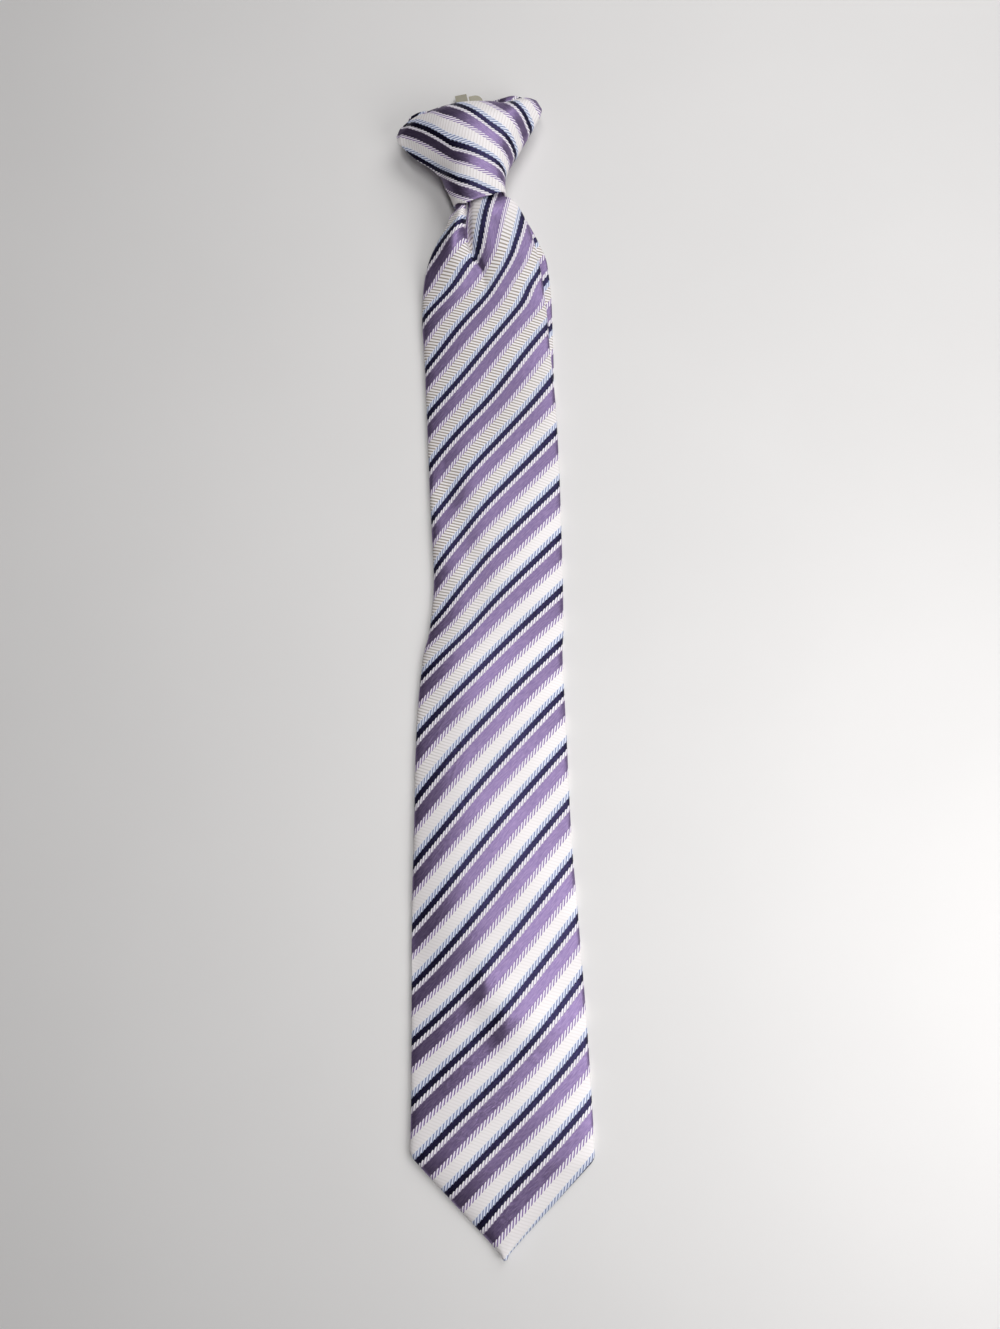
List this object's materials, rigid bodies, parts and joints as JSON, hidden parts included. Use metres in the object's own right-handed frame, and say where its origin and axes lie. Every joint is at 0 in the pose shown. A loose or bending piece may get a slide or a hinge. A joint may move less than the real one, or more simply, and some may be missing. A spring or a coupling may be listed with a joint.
{
  "type": "clip-on necktie",
  "caption": "Pre-tied clip-on necktie lying face up: striped folded blade with pointed tip, narrow tail, wrapped knot and a sprung collar clip behind it.",
  "frame": {"origin": "centre of the tie's bounding box, on the surface that it lies on", "axes": "+Y along the tie from the tip to the knot, +Z out of its striped face, +X to the right as it is seen from above"},
  "size_m": [0.0748, 0.5158, 0.025],
  "materials": {
    "striped_silk": "woven satin stripes in white, purple and navy",
    "nickel_plate": "satin nickel plate"
  },
  "bodies": {
    "tie": {"blade": "striped_silk", "tail": "striped_silk", "knot_wrap": "striped_silk", "knot_fold": "striped_silk", "clip_base": "nickel_plate", "clip_pin": "nickel_plate"},
    "lever": {"clip_lever": "nickel_plate"}
  },
  "joints": [
    {"name": "lever_hinge", "type": "hinge", "parent": "tie", "child": "lever", "pos_m": [-0.00122, 0.24059, 0.0034], "axis": [0.9816, 0.1908, 0], "range_deg": [0, 15], "stiffness_Nm_per_rad": 0.25, "springref_deg": -22.92}
  ]
}
